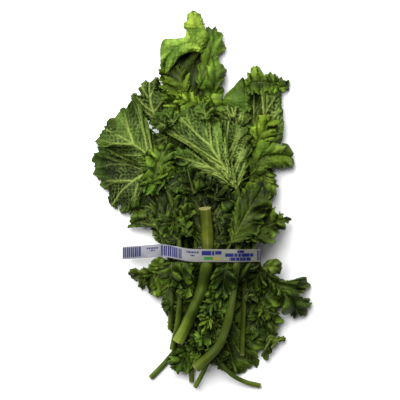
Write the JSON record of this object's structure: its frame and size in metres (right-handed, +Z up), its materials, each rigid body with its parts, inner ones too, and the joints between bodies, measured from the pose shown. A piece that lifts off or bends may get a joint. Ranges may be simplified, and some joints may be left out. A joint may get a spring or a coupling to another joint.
{
  "type": "bunch of mustard greens",
  "caption": "Bunch of curly mustard greens lying flat: frilled, veined leaves on cut stalks, held round the middle by a paper tie.",
  "frame": {"origin": "middle of the bunch seen from above, on the surface that it lies on", "axes": "+Y towards the leaf tips, +Z up out of the surface, +X to the right seen from above with the tips up"},
  "size_m": [0.2173, 0.3795, 0.0626],
  "materials": {
    "leaf_upper": "fresh green leaf, upper side",
    "leaf_underside": "pale veined leaf underside",
    "leaf_shade": "dark green older leaf",
    "stalk": "smooth waxy stalk",
    "tie_paper": "coated white paper with plain blue blocks"
  },
  "bodies": {
    "root": {"leaf_back_left": "leaf_shade", "leaf_back_right": "leaf_shade", "leaf_foot": "leaf_shade", "leaf_low_right": "leaf_shade", "leaf_out_right": "leaf_shade", "leaf_out_left": "leaf_shade", "leaf_shoulder": "leaf_underside", "leaf_tip": "leaf_upper", "leaf_heart": "leaf_upper", "leaf_rolled_right": "leaf_underside", "leaf_low_left": "leaf_shade", "leaf_fan_left": "leaf_upper", "leaf_side_right": "leaf_upper", "leaf_flap_right": "leaf_upper", "leaf_middle": "leaf_underside", "stalk_main": "stalk", "tie": "tie_paper"}
  },
  "joints": []
}
